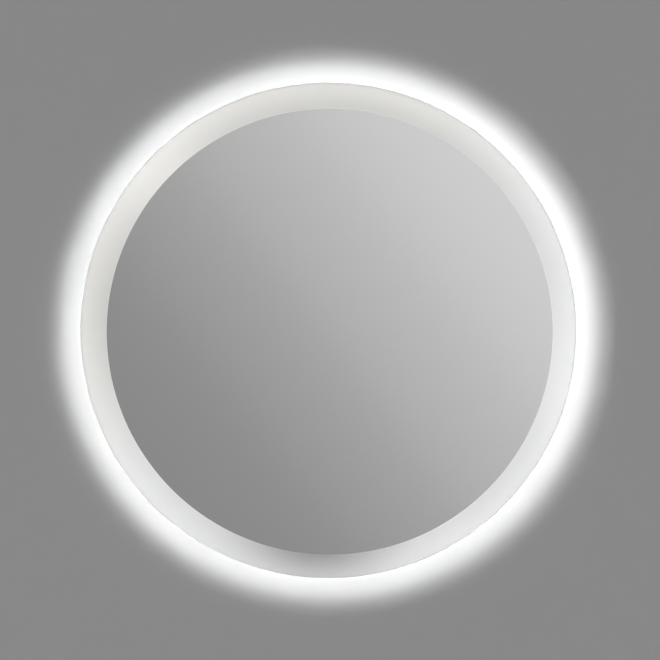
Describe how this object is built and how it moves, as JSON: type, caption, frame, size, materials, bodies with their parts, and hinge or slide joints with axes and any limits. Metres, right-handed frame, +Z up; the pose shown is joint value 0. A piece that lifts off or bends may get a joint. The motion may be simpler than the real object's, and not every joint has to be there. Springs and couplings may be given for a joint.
{
  "type": "lighted bathroom mirror",
  "caption": "Round backlit wall mirror with a satin rim: glass on an aluminium light ring, with driver and terminal box behind, hung on slotted wall rails.",
  "frame": {"origin": "on the wall plane, at the centre of the four wall screws, on the mirror disc's axis", "axes": "+Y into the wall, so the mirror faces -Y; +Z up; +X to the right of someone who looks into the mirror"},
  "size_m": [0.5999, 0.042, 0.6],
  "materials": {
    "clear_glass": "clear float glass with a ground edge",
    "silvering": "silvered, grey paint behind",
    "satin_band": "satin etched",
    "safety_film": "woven safety film",
    "foam_tape": "closed-cell foam",
    "ring_aluminium": "natural anodised, drawn grain",
    "rivet_aluminium": "plain",
    "strip_board": "white solder mask",
    "led_phosphor": "moulded, lit",
    "opal_diffuser": "opal, lit",
    "white_nylon": "moulded",
    "galvanised_steel": "galvanised sheet",
    "tray_steel": "zinc-plated sheet",
    "screw_steel": "bright zinc",
    "black_rubber": "moulded",
    "grey_foam": "closed-cell foam",
    "driver_plastic": "moulded, fine texture",
    "circuit_board": "green solder mask",
    "winding_tape": "wound tape over ferrite",
    "can_sleeve": "shrink sleeve",
    "sink_aluminium": "stamped",
    "box_plastic": "moulded, fine texture",
    "terminal_plastic": "moulded polyamide",
    "terminal_brass": "nickel-free brass",
    "gland_nylon": "moulded nylon",
    "white_cable": "extruded sheath",
    "brown_wire": "extruded insulation",
    "blue_wire": "extruded insulation",
    "green_yellow_wire": "green with a yellow stripe",
    "tinned_copper": "tinned"
  },
  "bodies": {
    "wall_side": {"wall_rail_upper": "galvanised_steel", "wall_rail_lower": "galvanised_steel"},
    "mirror": {"mirror_glass": "clear_glass", "silver_layer": "silvering", "satin_layer": "satin_band", "backing_film": "safety_film", "bonding_tape": "foam_tape", "carrier_ring": "ring_aluminium", "ring_joint_plate": "ring_aluminium", "ring_joint_rivets": "rivet_aluminium", "led_strip": "strip_board", "led_chips": "led_phosphor", "led_diffuser": "opal_diffuser", "led_feed_connector": "white_nylon", "hanger_rail_upper": "galvanised_steel", "hanger_rail_lower": "galvanised_steel", "hanger_screws": "screw_steel", "wall_bumpers": "black_rubber", "electronics_tray": "tray_steel", "tray_screws": "screw_steel", "glass_pads": "grey_foam", "driver_base": "driver_plastic", "driver_cover": "driver_plastic", "driver_cover_screws": "screw_steel", "driver_fixing_screws": "screw_steel", "driver_board": "circuit_board", "driver_transformer": "winding_tape", "driver_capacitors": "can_sleeve", "driver_heat_sink": "sink_aluminium", "terminal_box": "box_plastic", "lid_hinge_pins": "screw_steel", "terminal_box_screws": "screw_steel", "terminal_block": "terminal_plastic", "terminal_block_screws": "terminal_brass", "cable_gland_body": "gland_nylon", "gland_locknut": "gland_nylon", "gland_seal": "black_rubber", "gland_cap": "gland_nylon", "driver_input_lead": "white_cable", "led_lead": "white_cable", "core_live": "brown_wire", "core_neutral": "blue_wire", "core_earth": "green_yellow_wire", "earth_tag": "tinned_copper", "earth_screw": "screw_steel", "lead_clips": "white_nylon", "lead_grommets": "black_rubber"},
    "terminal_lid": {"terminal_lid": "box_plastic"}
  },
  "joints": [
    {"name": "lift_off", "type": "slide", "parent": "wall_side", "child": "mirror", "axis": [0, 0, 1], "range_m": [0, 0.014]},
    {"name": "lid_hinge", "type": "hinge", "parent": "mirror", "child": "terminal_lid", "pos_m": [0.095, -0.01, 0.0663], "axis": [1, 0, 0], "range_deg": [0, 110]}
  ]
}
